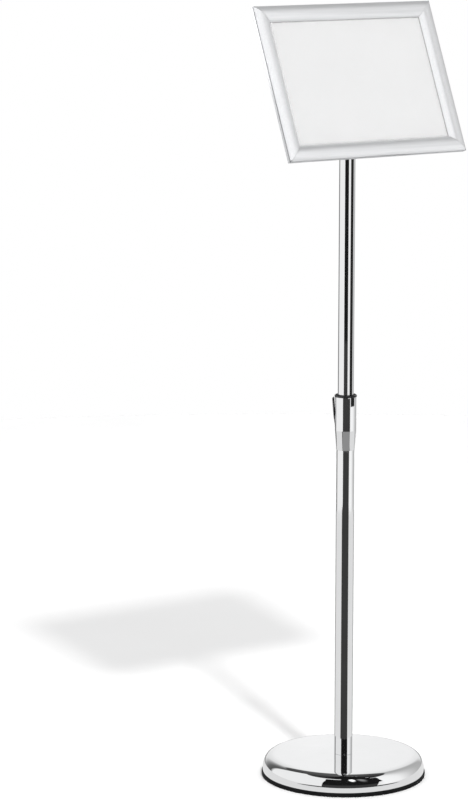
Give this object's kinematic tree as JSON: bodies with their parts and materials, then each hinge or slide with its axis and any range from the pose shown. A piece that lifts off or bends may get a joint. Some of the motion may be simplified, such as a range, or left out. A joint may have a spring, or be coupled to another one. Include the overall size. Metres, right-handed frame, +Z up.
{
  "type": "sign stand",
  "caption": "Free-standing pole sign holder: weighted round base, telescopic chrome pole with lever lock, tilting and turning landscape snap frame.",
  "frame": {"origin": "on the floor under the pole's axis, at the centre of the round base", "axes": "+Z up, +X to the right of a reader along the sign's width, -Y the way the sign faces"},
  "size_m": [0.329, 0.255, 1.1964],
  "materials": {
    "black_rubber": "matte",
    "polished_chrome": "polished",
    "raw_cast_iron": "rough",
    "zinc_plated_steel": "satin",
    "spring_steel": "satin",
    "black_plastic": "matte",
    "brake_lining": "matte",
    "die_cast_zinc": "as cast",
    "white_nylon": "satin",
    "black_enamel": "satin",
    "white_paper": "matte",
    "clear_sheet": "anti-glare",
    "anodised_aluminium": "satin anodised"
  },
  "bodies": {
    "stand": {"base_edge_ring": "black_rubber", "base_cover": "polished_chrome", "base_weight": "raw_cast_iron", "base_bottom_plate": "zinc_plated_steel", "bottom_plate_screws": "zinc_plated_steel", "base_bolt": "zinc_plated_steel", "base_flat_washer": "zinc_plated_steel", "base_spring_washer": "spring_steel", "foot_insert": "zinc_plated_steel", "lower_tube": "polished_chrome", "lock_collar": "polished_chrome", "collar_cap_ring": "black_plastic", "collar_bush": "black_plastic", "collar_screw": "spring_steel", "lever_pin": "spring_steel"},
    "lever": {"lock_lever": "polished_chrome", "lever_pad": "black_plastic", "brake_shoe": "brake_lining", "lever_spring": "spring_steel"},
    "slider": {"slide_bush": "black_plastic"},
    "mast": {"upper_tube": "polished_chrome", "head_plug": "die_cast_zinc", "plug_pin": "spring_steel", "friction_washers": "white_nylon"},
    "tilt_head": {"tilt_bracket": "black_enamel", "pivot_bolt": "zinc_plated_steel", "disc_spring": "spring_steel", "pivot_nut": "zinc_plated_steel", "swivel_rivet": "zinc_plated_steel", "slip_washer": "white_nylon"},
    "sign": {"swivel_plate": "zinc_plated_steel", "plate_screws": "zinc_plated_steel", "back_panel": "black_plastic", "poster": "white_paper", "cover_sheet": "clear_sheet", "frame_rail_bottom": "anodised_aluminium", "frame_rail_right": "anodised_aluminium", "frame_rail_top": "anodised_aluminium", "frame_rail_left": "anodised_aluminium", "rail_springs_bottom": "spring_steel", "rail_springs_right": "spring_steel", "rail_springs_top": "spring_steel", "rail_springs_left": "spring_steel", "corner_key_bottom_right": "die_cast_zinc", "corner_key_top_right": "die_cast_zinc", "corner_key_top_left": "die_cast_zinc", "corner_key_bottom_left": "die_cast_zinc"},
    "flap_bottom": {"flap_bottom": "anodised_aluminium"},
    "flap_right": {"flap_right": "anodised_aluminium"},
    "flap_top": {"flap_top": "anodised_aluminium"},
    "flap_left": {"flap_left": "anodised_aluminium"}
  },
  "joints": [
    {"name": "height_slide", "type": "slide", "parent": "stand", "child": "slider", "axis": [0, 0, 1], "range_m": [-0.35, 0.06]},
    {"name": "mast_swivel", "type": "hinge", "parent": "slider", "child": "mast", "pos_m": [0, 0, 0.5], "axis": [0, 0, 1], "continuous": true},
    {"name": "lever_press", "type": "hinge", "parent": "stand", "child": "lever", "pos_m": [-0.01211, 0.00851, 0.564], "axis": [0.575, 0.8181, 0], "range_deg": [0, 4], "stiffness_Nm_per_rad": 0.6, "springref_deg": -17.19},
    {"name": "head_tilt", "type": "hinge", "parent": "mast", "child": "tilt_head", "pos_m": [0, 0, 1.071], "axis": [-1, 0, 0], "range_deg": [-23.3, 66.7]},
    {"name": "frame_turn", "type": "hinge", "parent": "tilt_head", "child": "sign", "pos_m": [0, -0.0248, 1.08168], "axis": [0, -0.9184, 0.3955], "range_deg": [0, 90]},
    {"name": "flap_bottom_hinge", "type": "hinge", "parent": "sign", "child": "flap_bottom", "pos_m": [0, -0.07986, 0.97583], "axis": [1, 0, 0], "range_deg": [0, 90]},
    {"name": "flap_right_hinge", "type": "hinge", "parent": "sign", "child": "flap_right", "pos_m": [0.1625, -0.03279, 1.08512], "axis": [0, 0.3955, 0.9184], "range_deg": [0, 90]},
    {"name": "flap_top_hinge", "type": "hinge", "parent": "sign", "child": "flap_top", "pos_m": [0, 0.01428, 1.19442], "axis": [-1, 0, 0], "range_deg": [0, 90]},
    {"name": "flap_left_hinge", "type": "hinge", "parent": "sign", "child": "flap_left", "pos_m": [-0.1625, -0.03279, 1.08512], "axis": [0, -0.3955, -0.9184], "range_deg": [0, 90]}
  ]
}
